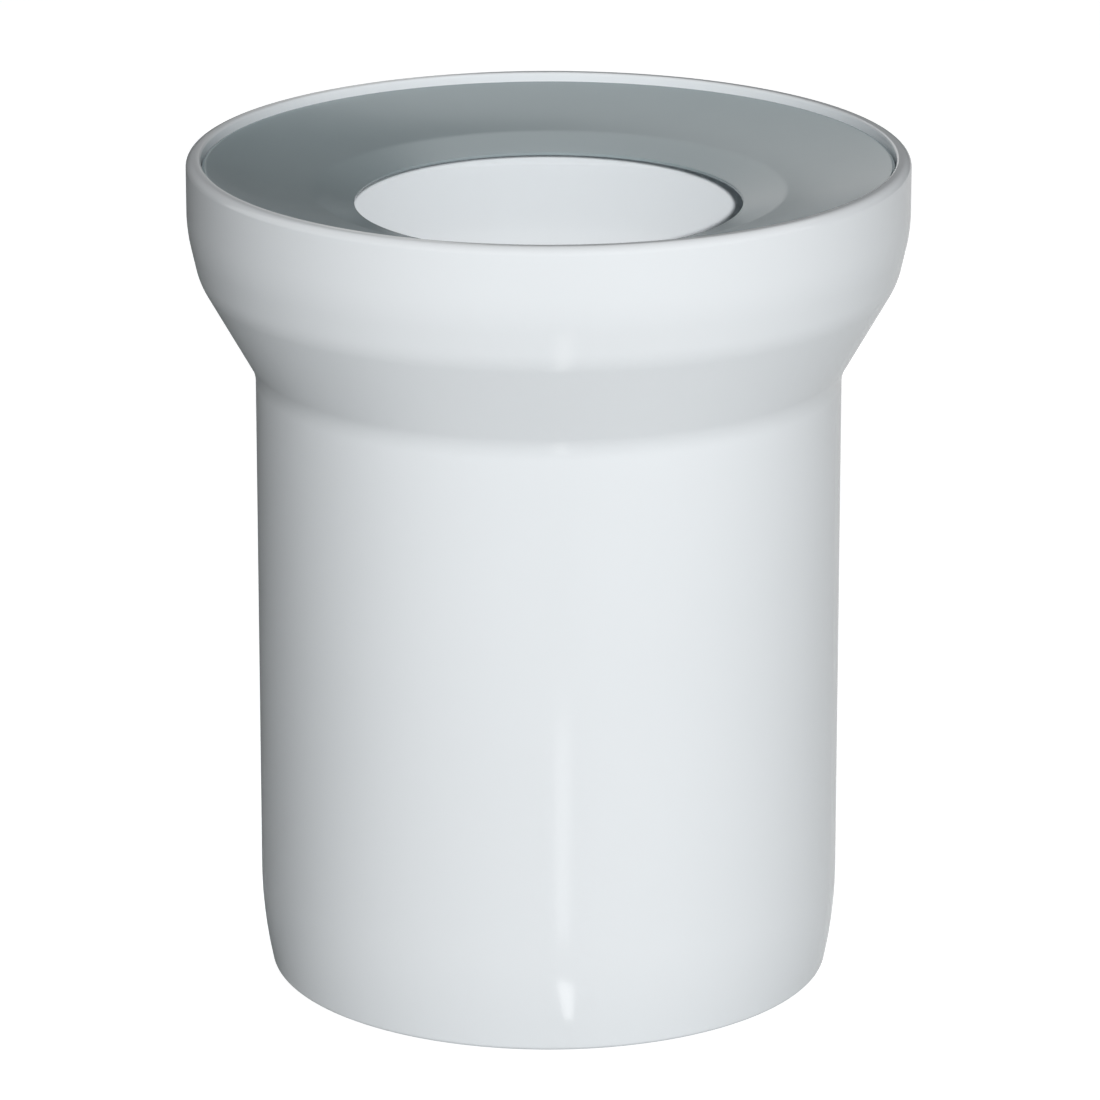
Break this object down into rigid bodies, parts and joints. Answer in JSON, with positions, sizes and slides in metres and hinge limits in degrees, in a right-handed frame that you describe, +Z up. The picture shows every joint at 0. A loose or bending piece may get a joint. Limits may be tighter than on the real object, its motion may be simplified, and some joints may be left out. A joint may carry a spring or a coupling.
{
  "type": "toilet pan connector",
  "caption": "Straight toilet pan connector: a white plastic body with a bell mouth, cone and plain spigot, and a grey rubber lip seal in the mouth.",
  "frame": {"origin": "centre of the spigot's lower end", "axes": "+Z up along the connector's axis, from the spigot's end to the bell's mouth; X and Y are any two directions across it"},
  "size_m": [0.135, 0.135, 0.158],
  "materials": {
    "body": "smooth glossy white moulded polypropylene",
    "seal": "smooth satin grey rubber"
  },
  "bodies": {
    "root": {"connector_body": "body", "lip_seal": "seal"}
  },
  "joints": []
}
